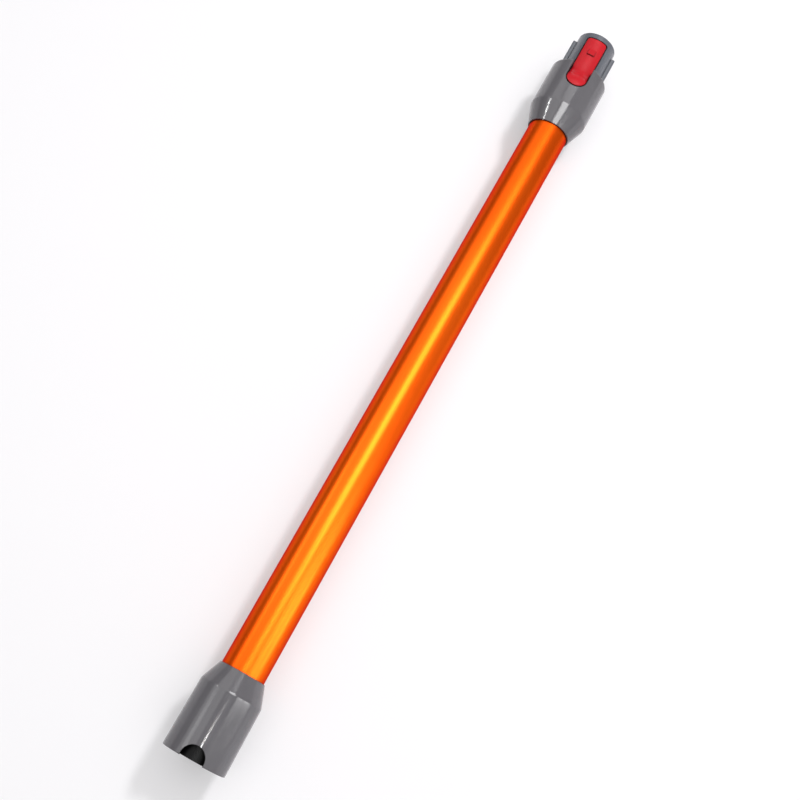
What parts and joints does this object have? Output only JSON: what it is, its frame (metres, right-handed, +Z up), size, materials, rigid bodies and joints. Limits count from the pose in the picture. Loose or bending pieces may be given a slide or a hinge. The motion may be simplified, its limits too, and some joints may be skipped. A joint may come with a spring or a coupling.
{
  "type": "vacuum extension wand",
  "caption": "Straight round tube with a socket at one end and a nose with a hinged release button at the other, for joining a stick vacuum cleaner to a floor head.",
  "frame": {"origin": "centre of the socket's mouth, on the airway's axis, in the plane of the rim", "axes": "+X along the airway to the tip of the nose; +Z up, out of the release button; -Z towards the flat keels that the wand lies on"},
  "size_m": [0.73, 0.0544, 0.0621],
  "materials": {
    "orange_anodised": "satin, orange anodised",
    "grey_housing": "semi-gloss mid grey",
    "grey_inner": "semi-gloss mid grey",
    "black_plastic": "matt black",
    "red_plastic": "semi-gloss red",
    "black_rubber": "matt",
    "steel": "bright",
    "contact_metal": "bright, gold coloured",
    "lead_red": "soft insulation, red",
    "lead_black": "soft insulation, black"
  },
  "bodies": {
    "wand": {"outer_tube": "orange_anodised", "wire_cover": "black_plastic", "lead_left": "lead_red", "lead_right": "lead_black", "lower_sleeve": "grey_housing", "socket_liner": "black_plastic", "socket_seal": "black_rubber", "lower_gasket": "black_rubber", "lower_screws": "steel", "contact_receptacle": "grey_inner", "contact_clip_left": "contact_metal", "contact_clip_right": "contact_metal", "upper_collar": "grey_housing", "nose_connector": "grey_inner", "upper_gasket": "black_rubber", "upper_screws": "steel", "button_spring": "steel", "pin_carrier": "black_plastic", "contact_pin_left": "contact_metal", "contact_pin_right": "contact_metal"},
    "button": {"release_button": "red_plastic"}
  },
  "joints": [
    {"name": "button_press", "type": "hinge", "parent": "wand", "child": "button", "pos_m": [0.7207, 0, 0.012], "axis": [0, -1, 0], "range_deg": [0, 4], "stiffness_Nm_per_rad": 2.2, "springref_deg": -3.44, "deforming": ["button_spring"]}
  ]
}
